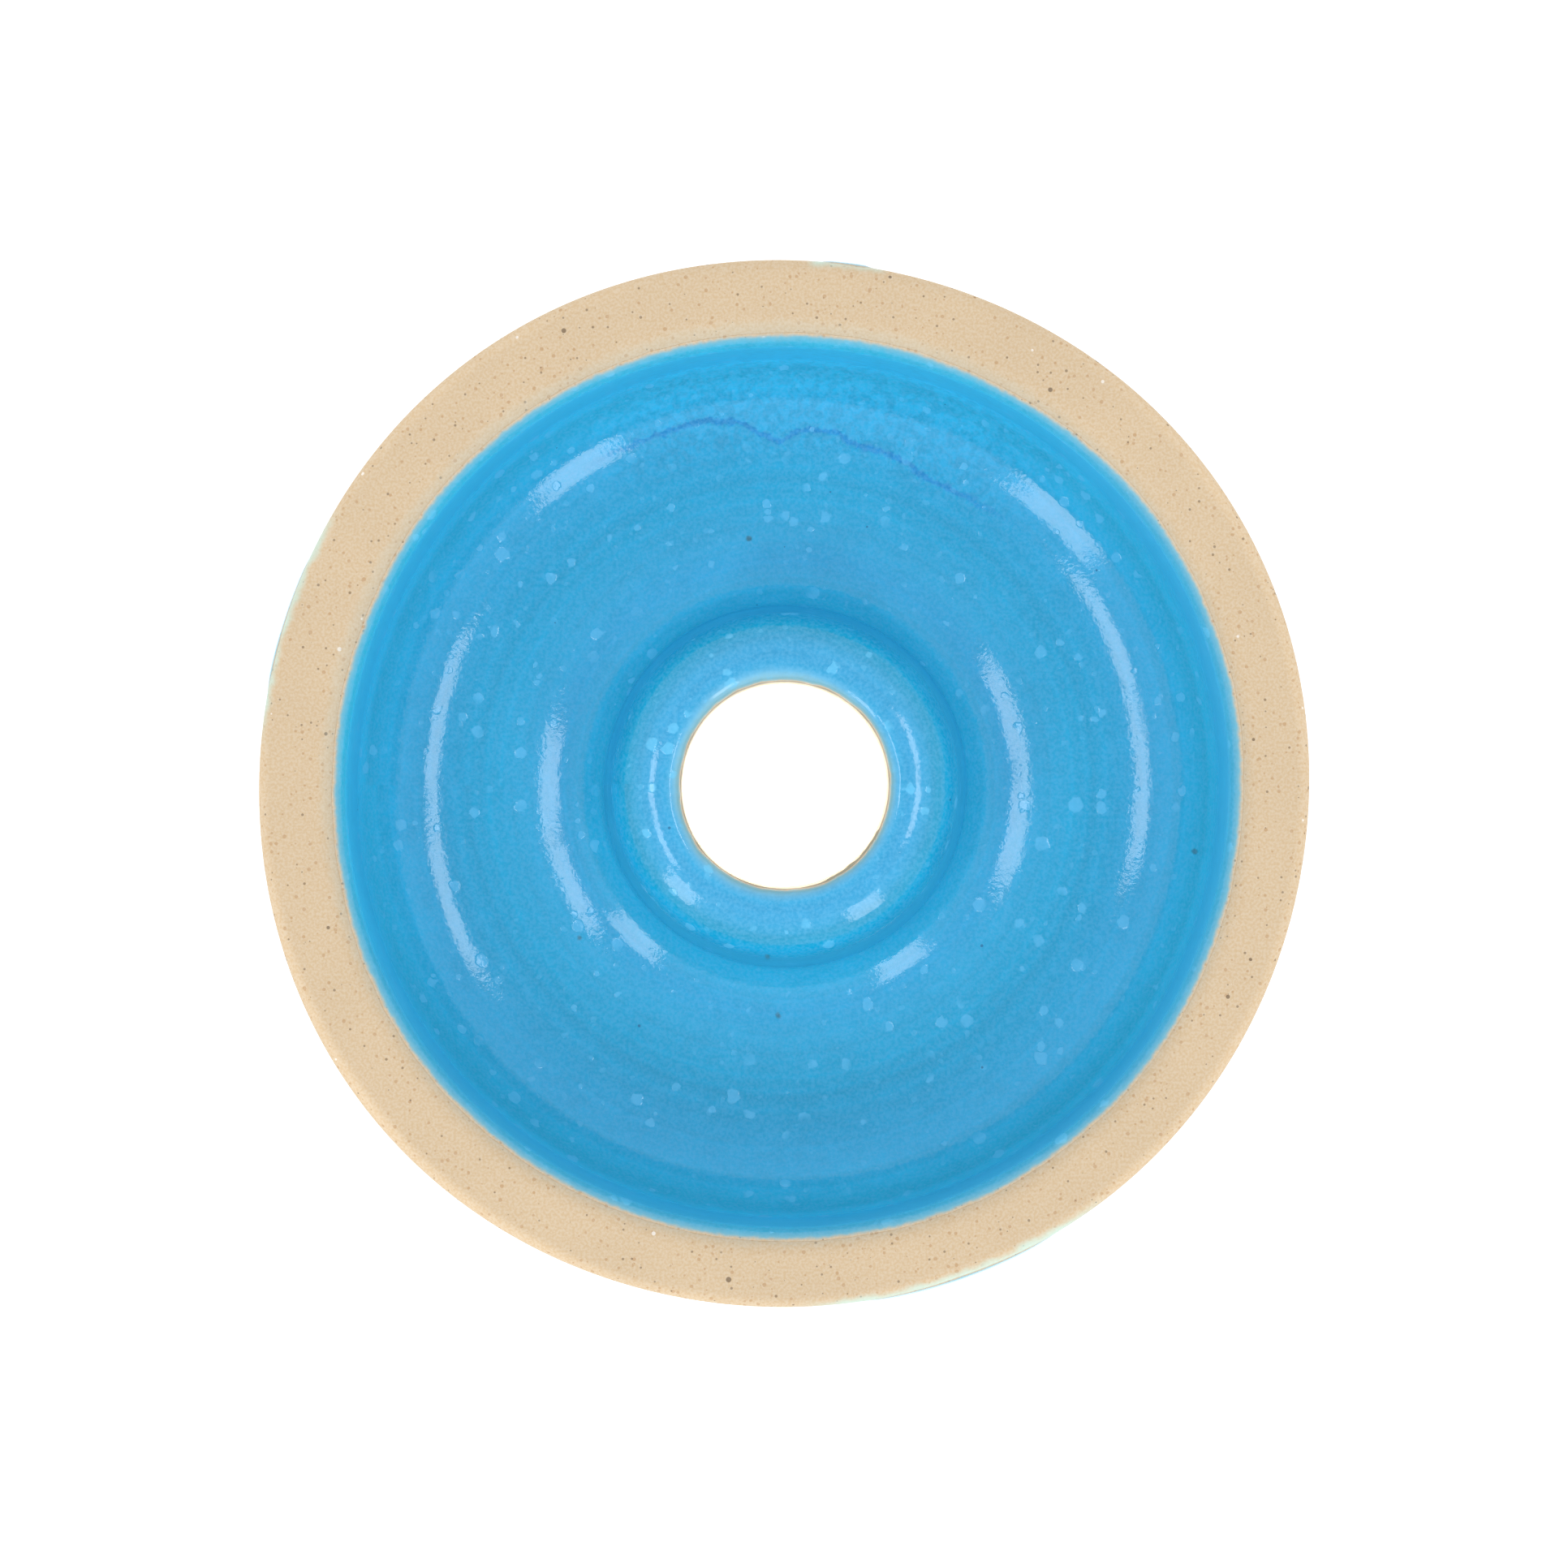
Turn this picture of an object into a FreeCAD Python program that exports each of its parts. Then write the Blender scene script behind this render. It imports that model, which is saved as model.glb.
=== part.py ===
# Water-pipe bowl of glazed stoneware: a ring-shaped well round a hollow spire, on a stem.
#
# The head (rim, well and spire) and the stem (neck, socket and foot) are thrown apart, luted
# at the neck and fired together. Two coats of glaze are fused to the clay: one lines the
# well, one covers the outside down to a line on the stem. The rim, foot and bore stay bare.
#
# Millimetres and degrees, +Z up. The origin is on the axis, at the level of the foot.

import FreeCAD, Part
import math
import os
import Sketcher
from FreeCAD import Vector

SIZES = {
    # Whole pot
    "head_height": 40.0,  # rim down to the luted joint at the neck
    "stem_height": 50.0,  # luted joint down to the foot
    "rim_radius": 40.0,
    "bore_radius": 7.9,
    "glaze_coat": 0.35,
    # Well, in the head
    "rim_width": 6.05,  # outer edge to where the well's wall would meet the rim
    "rim_inner_round": 2.2,
    "well_depth": 18.4,
    "well_lean": 1.8,  # degrees that the well's wall opens towards the rim
    "wall_round": 5.4,  # round between the well's wall and its floor
    "outer_floor_round": 12.6,  # easing of the floor towards the wall
    "inner_floor_round": 10.4,  # easing of the floor towards the spire
    "floor_ease": 15.0,  # degrees that each easing turns through
    "floor_turn": 26.0,  # degrees that the middle of the floor turns through
    "spire_foot_round": 2.15,  # round between the floor and the spire
    "spire_drop": 2.2,  # rim down to the crown of the spire
    "spire_lean": 4.0,  # degrees that the spire widens downwards
    "shoulder_round": 2.8,  # round between the spire's side and its crown
    "crown_round": 5.1,
    "crown_turn": 28.0,  # degrees that the crown turns through before the shoulder
    "bore_edge_round": 1.15,  # round between the crown's highest place and the bore
    # Outside of the head
    "rim_outer_round": 0.9,
    "outer_lean": 4.5,  # degrees that the outside wall draws in below the rim
    "outer_wall_height": 7.4,
    "bowl_round": 17.2,
    # Luted joint
    "spigot_wall": 4.0,
    "spigot_height": 4.0,
    # Stem
    "neck_radius": 16.5,
    "foot_radius": 19.4,
    "foot_height": 6.0,
    "foot_step": 1.1,
    "foot_round": 0.9,
    "socket_radius": 11.25,
    "mouth_flare": 1.5,
    "mouth_height": 8.0,
    "shoulder_height": 10.0,
    "throat_in_stem": 6.0,
    # Where the coats of glaze stop
    "well_wipe": 0.6,  # bare band below the rim, inside
    "lip_wipe": 0.5,  # bare band round the bore
    "outer_wipe": 2.0,  # bare band below the rim, outside
    "glaze_skirt": 14.0,  # neck down to the outer coat's lower edge
}

ROOT, X_AXIS, Y_AXIS = -1, -1, -2
START, END, CENTRE = 1, 2, 3
LIMIT = 1e-6

doc = FreeCAD.newDocument("water_pipe_bowl")


def make_sheet():
    """The driving dimensions, one to a row: its name in column A, its value in column B."""
    sheet = doc.addObject("Spreadsheet::Sheet", "sizes")
    for row, (alias, value) in enumerate(SIZES.items(), start=1):
        sheet.set(f"A{row}", alias)
        sheet.set(f"B{row}", str(value))
        sheet.setAlias(f"B{row}", alias)
    doc.recompute()
    return sheet


sheet = make_sheet()


def size(alias):
    return float(sheet.get(alias))


def polar(degrees, length=1.0):
    """A vector in the sketch plane, at an angle above the sketch's X axis."""
    turn = math.radians(degrees)
    return Vector(math.cos(turn), math.sin(turn), 0) * length


# ---------------------------------------------------------------- outlines of the pot

RIM_LEVEL = size("head_height") + size("stem_height")
BY_RIM_LEVEL = "sizes.head_height + sizes.stem_height"
WELL_RADIUS = size("rim_radius") - size("rim_width")
BY_WELL_RADIUS = "sizes.rim_radius - sizes.rim_width"


def well_places():
    """Centres and radii of the well's arcs on the clay, from the sizes."""
    lean, open_, half = size("spire_lean"), size("well_lean"), size("floor_turn") / 2
    crown_r, shoulder_r = size("crown_round"), size("shoulder_round")
    foot_r, wall_r = size("spire_foot_round"), size("wall_round")
    inner_r, outer_r = size("inner_floor_round"), size("outer_floor_round")
    edge_r, top = size("bore_edge_round"), RIM_LEVEL - size("spire_drop")
    edge = Vector(size("bore_radius") + edge_r, top - edge_r, 0)
    crown = Vector(edge.x, top - crown_r, 0)
    shoulder = crown + polar(90 - size("crown_turn")) * (crown_r - shoulder_r)
    rim = Vector(WELL_RADIUS, RIM_LEVEL, 0)
    rim_r = size("rim_inner_round")
    bottom = RIM_LEVEL - size("well_depth")
    off_spire, off_wall = polar(lean), polar(180 - open_)
    inward, outward = polar(-90 - half), polar(-90 + half)
    inner_end = polar(-90 - half - size("floor_ease"))
    outer_end = polar(-90 + half + size("floor_ease"))
    # The floor's centre is (x, bottom + r). Each side's round keeps its distance from its line,
    # which gives two equations a x + b r = c for x and r.
    to_foot = inner_end * (inner_r - foot_r) - inward * inner_r + Vector(0, bottom, 0)
    to_wall = outer_end * (outer_r - wall_r) - outward * outer_r + Vector(0, bottom, 0)
    a1, a2 = off_spire.x, off_wall.x
    b1 = (inward + Vector(0, 1, 0)).dot(off_spire)
    b2 = (outward + Vector(0, 1, 0)).dot(off_wall)
    c1 = shoulder_r + foot_r - (to_foot - shoulder).dot(off_spire)
    c2 = wall_r - (to_wall - rim).dot(off_wall)
    det = a1 * b2 - a2 * b1
    floor_x, floor_r = (c1 * b2 - c2 * b1) / det, (a1 * c2 - a2 * c1) / det
    floor = Vector(floor_x, bottom + floor_r, 0)
    inner = floor + inward * (floor_r - inner_r)
    outer = floor + outward * (floor_r - outer_r)
    # The rim's inner round is tangent to the wall and to the flat of the rim.
    touch = rim_r - off_wall.y * rim_r
    rim_round = rim + Vector(-touch * math.tan(math.radians(open_)), -touch, 0) - off_wall * rim_r
    return {
        "bore_edge": (edge, edge_r),
        "crown": (crown, crown_r),
        "shoulder": (shoulder, shoulder_r),
        "spire_foot": (inner + inner_end * (inner_r - foot_r), foot_r),
        "inner_floor": (inner, inner_r),
        "floor": (floor, floor_r),
        "outer_floor": (outer, outer_r),
        "wall_foot": (outer + outer_end * (outer_r - wall_r), wall_r),
        "rim_round": (rim_round, rim_r),
        "rim": rim,
        "off_crown": polar(90 - size("crown_turn")),
        "off_spire": off_spire,
        "off_wall": off_wall,
        "floor_normals": (inner_end, inward, outward, outer_end),
    }


def outside_places():
    """Centres and radii of the outside's arcs on the clay, from the sizes."""
    lean, bowl_r = size("outer_lean"), size("bowl_round")
    rim = Vector(size("rim_radius"), RIM_LEVEL, 0)
    drop = size("outer_wall_height")
    wall_end = rim - Vector(drop * math.tan(math.radians(lean)), drop, 0)
    inside = polar(180 - lean)
    bowl = wall_end + inside * bowl_r
    neck = Vector(size("neck_radius"), size("stem_height"), 0)
    base = Vector(size("foot_radius") - size("foot_step"), size("foot_height"), 0)
    along = (neck - base).normalize()
    out = Vector(along.y, -along.x, 0)
    apart = neck - bowl
    cove_r = (apart.Length**2 - bowl_r**2) / (2 * (bowl_r - apart.dot(out)))
    return {
        "rim": rim,
        "wall_end": wall_end,
        "off_wall": inside * -1,
        "bowl": (bowl, bowl_r),
        "cove": (neck + out * cove_r, cove_r),
        "neck": neck,
        "base": base,
        "off_stem": out,
    }


class Outline:
    """A sketch in a body's XZ plane, with the pot's axis as its vertical axis."""

    def __init__(self, body, name):
        plane = next(f for f in body.Origin.OriginFeatures if f.Role == "XZ_Plane")
        self.sketch = body.newObject("Sketcher::SketchObject", name)
        self.sketch.AttachmentSupport = [(plane, "")]
        self.sketch.MapMode = "FlatFace"

    def line(self, first, last, construction=False):
        return self.sketch.addGeometry(Part.LineSegment(first, last), construction), START, END

    def arc(self, centre, radius, first, last, anticlockwise):
        """The edge and which of its ends come first and last along the outline."""
        ends = [first, last] if anticlockwise else [last, first]
        turns = [math.atan2(p.y - centre.y, p.x - centre.x) for p in ends]
        circle = Part.Circle(centre, Vector(0, 0, 1), radius)
        edge = self.sketch.addGeometry(Part.ArcOfCircle(circle, *turns))
        return (edge, START, END) if anticlockwise else (edge, END, START)

    def fix(self, kind, *where):
        self.sketch.addConstraint(Sketcher.Constraint(kind, *where))

    def drive(self, kind, *where, value, by):
        """A dimension whose value comes from the sheet."""
        index = self.sketch.addConstraint(Sketcher.Constraint(kind, *where, value))
        name = f"{kind}_{index}"
        self.sketch.renameConstraint(index, name)
        self.sketch.setExpression(f"Constraints.{name}", by)

    def place(self, edge, end, at, x=None, y=None):
        """Holds a point at distances from the origin, each driven by an expression."""
        for kind, value, by in (("DistanceX", at.x, x), ("DistanceY", at.y, y)):
            if by:
                self.drive(kind, ROOT, START, edge, end, value=value, by=by)

    def on_axis(self, edge, end):
        self.fix("PointOnObject", edge, end, Y_AXIS)

    def join(self, *edges):
        for (one, _, last), (other, first, _) in zip(edges, edges[1:]):
            self.fix("Coincident", one, last, other, first)

    def join_smoothly(self, *edges):
        for (one, _, last), (other, first, _) in zip(edges, edges[1:]):
            self.fix("Tangent", one, last, other, first)

    def finish(self):
        if self.sketch.solve() or not self.sketch.FullyConstrained:
            raise RuntimeError(f"sketch {self.sketch.Name} isn't fully constrained")
        return self.sketch


def well_chain(outline, start_x, end_level, coat=0.0):
    """The well's surface from the edge of the bore to the rim, raised off the clay by a coat.

    It is drawn as bore edge, crown, shoulder, spire, spire foot, the floor in three arcs,
    wall foot, wall and rim round, in that order. The first arc starts at a distance from the
    axis and the last ends at a level.
    """
    at = well_places()
    (edge, edge_r), (crown, crown_r), (shoulder, shoulder_r) = at["bore_edge"], at["crown"], at["shoulder"]
    rim, rim_r = at["rim_round"]
    bends = [at[name] for name in ("spire_foot", "inner_floor", "floor", "outer_floor", "wall_foot")]
    edge_r, crown_r, shoulder_r, rim_r = edge_r + coat, crown_r + coat, shoulder_r + coat, rim_r + coat
    reach = start_x - edge.x
    climb = math.degrees(math.asin(min((end_level - rim.y) / rim_r, 1.0)))
    edge_start = edge + Vector(reach, math.sqrt(max(edge_r**2 - reach**2, 0.0)), 0)
    top = edge + Vector(0, edge_r, 0)
    crown_end = crown + at["off_crown"] * crown_r
    shoulder_end = shoulder + at["off_spire"] * shoulder_r
    (foot, foot_r), (wall_foot, wall_r) = bends[0], bends[-1]
    spire_end = foot - at["off_spire"] * (foot_r - coat)
    wall_start = wall_foot - at["off_wall"] * (wall_r - coat)
    wall_end = rim + at["off_wall"] * rim_r
    rim_end = rim + polar(180 - climb, rim_r)
    joins = [centre + out * (radius - coat) for (centre, radius), out in zip(bends, at["floor_normals"])]
    stops = [spire_end, *joins, wall_start]
    chain = [
        outline.arc(edge, edge_r, edge_start, top, anticlockwise=False),
        outline.arc(crown, crown_r, top, crown_end, anticlockwise=False),
        outline.arc(shoulder, shoulder_r, crown_end, shoulder_end, anticlockwise=False),
        outline.line(shoulder_end, spire_end),
        *(
            outline.arc(centre, radius - coat, first, last, anticlockwise=True)
            for (centre, radius), first, last in zip(bends, stops, stops[1:])
        ),
        outline.line(wall_start, wall_end),
        outline.arc(rim, rim_r, wall_end, rim_end, anticlockwise=False),
    ]
    outline.join_smoothly(*chain)
    return chain, edge_start, rim_end


def drive_well(outline, chain):
    """Binds the clay's well to the sheet, all but the two ends of the chain."""
    at = well_places()
    (bore_edge, *_), (crown, _, crown_last), (shoulder, *_), (spire, _, spire_low) = chain[:4]
    (foot, *_), (inner, *_), (floor, *_), (outer, *_), (wall_foot, *_) = chain[4:9]
    (wall, wall_low, wall_top), (rim_round, *_) = chain[9:]
    crown_level = f"{BY_RIM_LEVEL} - sizes.spire_drop - sizes.crown_round"
    by_edge = "sizes.bore_radius + sizes.bore_edge_round"
    outline.place(bore_edge, CENTRE, at["bore_edge"][0], x=by_edge)
    outline.place(crown, CENTRE, at["crown"][0], x=by_edge, y=crown_level)
    for edge, name, alias in (
        (bore_edge, "bore_edge", "bore_edge_round"),
        (crown, "crown", "crown_round"),
        (shoulder, "shoulder", "shoulder_round"),
        (foot, "spire_foot", "spire_foot_round"),
        (inner, "inner_floor", "inner_floor_round"),
        (outer, "outer_floor", "outer_floor_round"),
        (wall_foot, "wall_foot", "wall_round"),
        (rim_round, "rim_round", "rim_inner_round"),
    ):
        outline.drive("Radius", edge, value=at[name][1], by=f"sizes.{alias}")
    round_level = f"{BY_RIM_LEVEL} - sizes.rim_inner_round"
    outline.place(rim_round, CENTRE, at["rim_round"][0], y=round_level)
    crown_centre, crown_r = at["crown"]
    crown_end = crown_centre + at["off_crown"] * crown_r
    spoke, hub, tip = outline.line(crown_centre, crown_end, construction=True)
    outline.fix("Coincident", spoke, hub, crown, CENTRE)
    outline.fix("Coincident", spoke, tip, crown, crown_last)
    turn = math.radians(size("crown_turn"))
    outline.drive("Angle", spoke, hub, Y_AXIS, START, value=turn, by="sizes.crown_turn")
    lean, open_ = math.radians(size("spire_lean")), math.radians(size("well_lean"))
    outline.drive("Angle", Y_AXIS, START, spire, spire_low, value=lean, by="sizes.spire_lean")
    outline.drive("Angle", wall, wall_low, Y_AXIS, START, value=open_, by="sizes.well_lean")
    # The wall's line would meet the flat of the rim at the well's radius.
    wall_end = at["rim_round"][0] + at["off_wall"] * at["rim_round"][1]
    guide, _, corner = outline.line(wall_end, at["rim"], construction=True)
    outline.fix("Coincident", guide, START, wall, wall_top)
    outline.fix("Parallel", guide, wall)
    outline.place(guide, corner, at["rim"], x=BY_WELL_RADIUS, y=BY_RIM_LEVEL)
    # The floor turns evenly either side of its lowest point, which is at the well's depth.
    for edge, alias in ((floor, "floor_turn"), (inner, "floor_ease"), (outer, "floor_ease")):
        outline.drive("Angle", edge, value=math.radians(size(alias)), by=f"sizes.{alias}")
    outline.fix("Horizontal", floor, START, floor, END)
    centre, radius = at["floor"]
    low = centre - Vector(0, radius, 0)
    level, at_axis, under = outline.line(Vector(0, low.y, 0), low, construction=True)
    outline.on_axis(level, at_axis)
    outline.fix("Horizontal", level)
    outline.fix("Vertical", floor, CENTRE, level, under)
    outline.fix("Tangent", floor, level)
    outline.place(level, at_axis, low, y=f"{BY_RIM_LEVEL} - sizes.well_depth")


def outside_chain(outline, top_level, low_level, coat=0.0):
    """The outside from the rim down the wall, bowl and cove, and down the stem to a level."""
    at = outside_places()
    (bowl, bowl_r), (cove, cove_r) = at["bowl"], at["cove"]
    bowl_r, cove_r = bowl_r + coat, cove_r - coat
    wall_end = at["wall_end"] + at["off_wall"] * coat
    up = top_level - wall_end.y
    top = wall_end + Vector(up * math.tan(math.radians(size("outer_lean"))), up, 0)
    turn_point = bowl + (cove - bowl).normalize() * bowl_r
    neck = at["neck"] + at["off_stem"] * coat
    slope = (at["base"].x - at["neck"].x) / (at["neck"].y - at["base"].y)
    low = neck + Vector(slope * (neck.y - low_level), low_level - neck.y, 0)
    chain = [
        outline.line(top, wall_end),
        outline.arc(bowl, bowl_r, wall_end, turn_point, anticlockwise=False),
        outline.arc(cove, cove_r, turn_point, neck, anticlockwise=True),
        outline.line(neck, low),
    ]
    outline.join_smoothly(*chain)
    return chain, top, low


def drive_outside(outline, chain):
    """Binds the clay's outside to the sheet, all but the two ends of the chain."""
    at = outside_places()
    (wall, _, wall_low), (bowl, *_), _, (stem, stem_top, _) = chain
    lean = math.radians(size("outer_lean"))
    outline.drive("Angle", wall, wall_low, Y_AXIS, START, value=lean, by="sizes.outer_lean")
    outline.drive("Radius", bowl, value=at["bowl"][1], by="sizes.bowl_round")
    wall_level = f"{BY_RIM_LEVEL} - sizes.outer_wall_height"
    outline.place(wall, wall_low, at["wall_end"], y=wall_level)
    outline.place(stem, stem_top, at["neck"], x="sizes.neck_radius", y="sizes.stem_height")
    # The rim's corner and the foot's top corner lie on the wall's and the stem's lines.
    rim, _, rim_at = outline.line(at["wall_end"], at["rim"], construction=True)
    outline.fix("Coincident", rim, START, wall, wall_low)
    outline.fix("Parallel", rim, wall)
    outline.place(rim, rim_at, at["rim"], x="sizes.rim_radius", y=BY_RIM_LEVEL)
    base, _, base_at = outline.line(at["neck"], at["base"], construction=True)
    outline.fix("Coincident", base, START, stem, stem_top)
    outline.fix("Parallel", base, stem)
    base_x = "sizes.foot_radius - sizes.foot_step"
    outline.place(base, base_at, at["base"], x=base_x, y="sizes.foot_height")


# ---------------------------------------------------------------- features

def new_body(name):
    return doc.addObject("PartDesign::Body", name)


def turned(body, sketch, name, kind="PartDesign::Revolution"):
    """A whole turn of a sketch about the pot's axis."""
    feature = body.newObject(kind, name)
    feature.Profile = sketch
    feature.ReferenceAxis = (sketch, ["V_Axis"])
    feature.Angle = 360
    doc.recompute()
    return feature


def round_hole(body, name, radius, length=None, level=None):
    """A round pocket going up from a level, through everything if no length is given."""
    plane = next(f for f in body.Origin.OriginFeatures if f.Role == "XY_Plane")
    sketch = body.newObject("Sketcher::SketchObject", f"{name}_circle")
    sketch.AttachmentSupport = [(plane, "")]
    sketch.MapMode = "FlatFace"
    if level:
        sketch.setExpression(".AttachmentOffset.Base.z", level)
    sketch.addGeometry(Part.Circle(Vector(0, 0, 0), Vector(0, 0, 1), 5.0))
    sketch.addConstraint(Sketcher.Constraint("Coincident", 0, CENTRE, ROOT, START))
    sketch.addConstraint(Sketcher.Constraint("Radius", 0, 5.0))
    sketch.renameConstraint(1, "radius")
    sketch.setExpression("Constraints.radius", radius)
    pocket = body.newObject("PartDesign::Pocket", name)
    pocket.Profile = sketch
    pocket.Reversed = True
    if length:
        pocket.setExpression("Length", length)
    else:
        pocket.Type = "ThroughAll"
    doc.recompute()
    return pocket


def ring_edge(feature, radius, level):
    """The name of the round edge at a radius and level on a feature."""
    for index, edge in enumerate(feature.Shape.Edges, start=1):
        curve = edge.Curve
        if isinstance(curve, Part.Circle) and abs(curve.Radius - radius) < LIMIT:
            if abs(curve.Center.z - level) < LIMIT:
                return f"Edge{index}"
    raise RuntimeError(f"{feature.Name} has no round edge of radius {radius} at {level}")


def eased(body, name, size_name, *places):
    """A fillet on round edges, each given by its radius and level."""
    fillet = body.newObject("PartDesign::Fillet", name)
    base = body.Group[-2]
    fillet.Base = (base, [ring_edge(base, *place) for place in places])
    fillet.setExpression("Radius", f"sizes.{size_name}")
    doc.recompute()
    return fillet


def cornered(body, name, corners, slanted):
    """A closed outline of straight sides from (x, y, what drives x, what drives y).

    Its first and last corners are on the axis, the first at the origin. Sides run level or
    upright, apart from those whose number is in slanted.
    """
    outline = Outline(body, name)
    points = [Vector(x, y, 0) for x, y, _, _ in corners]
    sides = [outline.line(a, b) for a, b in zip(points, points[1:] + points[:1])]
    outline.join(*sides, sides[0])
    for number, (edge, _, _) in enumerate(sides):
        a, b = points[number], points[(number + 1) % len(points)]
        if number not in slanted:
            outline.fix("Horizontal" if abs(a.y - b.y) < LIMIT else "Vertical", edge)
    for (edge, first, _), point, (_, _, x, y) in zip(sides, points, corners):
        outline.place(edge, first, point, x=x, y=y)
    outline.fix("Coincident", sides[0][0], START, ROOT, START)
    return outline.finish()


# ---------------------------------------------------------------- sub-parts

def make_head_outline(body):
    """Half-section of the head before the well is turned out of it."""
    outline = Outline(body, "head_outline")
    chain, top, low = outside_chain(outline, RIM_LEVEL, size("foot_height"))
    drive_outside(outline, chain)
    (wall, wall_top, _), _, cove, (stem, _, stem_low) = chain
    outline.place(wall, wall_top, top, y=BY_RIM_LEVEL)
    # The head stops at the neck, so the stem's own line is only a guide here.
    outline.sketch.setConstruction(stem, True)
    outline.place(stem, stem_low, low, y="sizes.foot_height")
    neck = Vector(size("neck_radius"), size("stem_height"), 0)
    neck_centre, rim_centre = Vector(0, neck.y, 0), Vector(0, RIM_LEVEL, 0)
    joint = outline.line(neck, neck_centre)
    axis = outline.line(neck_centre, rim_centre)
    rim = outline.line(rim_centre, top)
    outline.join(cove, joint, axis, rim, chain[0])
    outline.fix("Horizontal", joint[0])
    outline.fix("Horizontal", rim[0])
    outline.on_axis(axis[0], START)
    outline.on_axis(axis[0], END)
    return outline.finish()


def make_well_outline(body):
    """Half-section of the well, closed over the bore and up to the rim."""
    outline = Outline(body, "well_outline")
    chain, start, rim_end = well_chain(outline, size("bore_radius"), RIM_LEVEL)
    drive_well(outline, chain)
    (bore_edge, edge_first, _), (rim_round, _, round_last) = chain[0], chain[-1]
    outline.fix("Horizontal", bore_edge, CENTRE, bore_edge, edge_first)
    outline.fix("Vertical", rim_round, CENTRE, rim_round, round_last)
    rim_centre, bore_centre = Vector(0, RIM_LEVEL, 0), Vector(0, start.y, 0)
    over = outline.line(rim_end, rim_centre)
    axis = outline.line(rim_centre, bore_centre)
    inner = outline.line(bore_centre, start)
    outline.join(chain[-1], over, axis, inner, chain[0])
    outline.fix("Horizontal", over[0])
    outline.fix("Horizontal", inner[0])
    outline.on_axis(axis[0], START)
    outline.on_axis(axis[0], END)
    return outline.finish()


def make_head():
    """Thrown head: a solid of revolution, the well turned out of it, then the bore."""
    body = new_body("bowl_head")
    turned(body, make_head_outline(body), "head_blank")
    turned(body, make_well_outline(body), "well", "PartDesign::Groove")
    spigot = "sizes.bore_radius + sizes.spigot_wall"
    round_hole(body, "spigot_seat", spigot, length="sizes.spigot_height", level="sizes.stem_height")
    round_hole(body, "spire_bore", "sizes.bore_radius")
    eased(body, "rim_outer_edge", "rim_outer_round", (size("rim_radius"), RIM_LEVEL))
    return body


def make_stem():
    """Thrown stem: a flared tube with a foot ring, a spigot on top and a socket below."""
    body = new_body("stem")
    foot_r, foot_top, neck_level = size("foot_radius"), size("foot_height"), size("stem_height")
    spigot_r, spigot_top = size("bore_radius") + size("spigot_wall"), neck_level + size("spigot_height")
    base_x, spigot_x = "sizes.foot_radius - sizes.foot_step", "sizes.bore_radius + sizes.spigot_wall"
    corners = [
        (0, 0, None, None),
        (foot_r, 0, "sizes.foot_radius", None),
        (foot_r, foot_top, None, "sizes.foot_height"),
        (foot_r - size("foot_step"), foot_top, base_x, None),
        (size("neck_radius"), neck_level, "sizes.neck_radius", "sizes.stem_height"),
        (spigot_r, neck_level, spigot_x, None),
        (spigot_r, spigot_top, None, "sizes.stem_height + sizes.spigot_height"),
        (0, spigot_top, None, None),
    ]
    turned(body, cornered(body, "stem_outline", corners, slanted=[3]), "stem_blank")

    socket_r, throat_level = size("socket_radius"), neck_level - size("throat_in_stem")
    by_throat = "sizes.stem_height - sizes.throat_in_stem"
    corners = [
        (0, 0, None, None),
        (socket_r + size("mouth_flare"), 0, "sizes.socket_radius + sizes.mouth_flare", None),
        (socket_r, size("mouth_height"), "sizes.socket_radius", "sizes.mouth_height"),
        (socket_r, throat_level - size("shoulder_height"), None, f"{by_throat} - sizes.shoulder_height"),
        (size("bore_radius"), throat_level, "sizes.bore_radius", by_throat),
        (0, throat_level, None, None),
    ]
    outline = cornered(body, "socket_outline", corners, slanted=[1, 3])
    turned(body, outline, "socket", "PartDesign::Groove")
    round_hole(body, "throat", "sizes.bore_radius")
    eased(body, "foot_edges", "foot_round", (foot_r, 0.0), (foot_r, foot_top))
    return body


def same_centres(outline, clay, coat):
    """Makes a coat's arcs concentric with the clay's, and its lines parallel to them."""
    for (under, *_), (over, *_) in zip(clay, coat):
        if isinstance(outline.sketch.Geometry[under], Part.ArcOfCircle):
            outline.fix("Coincident", under, CENTRE, over, CENTRE)
        else:
            outline.fix("Parallel", under, over)


def make_well_glaze():
    """Coat that lines the well, from the edge of the bore up onto the rim's inner round."""
    body = new_body("well_glaze")
    outline = Outline(body, "well_coat")
    inner_x, end_level = size("bore_radius") + size("lip_wipe"), RIM_LEVEL - size("well_wipe")
    clay, clay_start, clay_end = well_chain(outline, inner_x, end_level)
    coat, coat_start, coat_end = well_chain(outline, inner_x, end_level, size("glaze_coat"))
    drive_well(outline, clay)
    same_centres(outline, clay, coat)
    radius = "sizes.crown_round + sizes.glaze_coat"
    outline.drive("Radius", coat[1][0], value=size("crown_round") + size("glaze_coat"), by=radius)
    lip_edge = outline.line(clay_start, coat_start)
    rim_edge = outline.line(coat_end, clay_end)
    (bore_edge, edge_first, _), (rim_round, _, round_last) = clay[0], clay[-1]
    outline.fix("Coincident", lip_edge[0], START, bore_edge, edge_first)
    outline.join(lip_edge, coat[0])
    outline.join(coat[-1], rim_edge)
    outline.fix("Coincident", rim_edge[0], END, rim_round, round_last)
    outline.fix("Vertical", lip_edge[0])
    outline.fix("Horizontal", rim_edge[0])
    outline.place(bore_edge, edge_first, clay_start, x="sizes.bore_radius + sizes.lip_wipe")
    outline.place(rim_round, round_last, clay_end, y=f"{BY_RIM_LEVEL} - sizes.well_wipe")
    turned(body, outline.finish(), "well_coat_ring")
    return body


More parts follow.
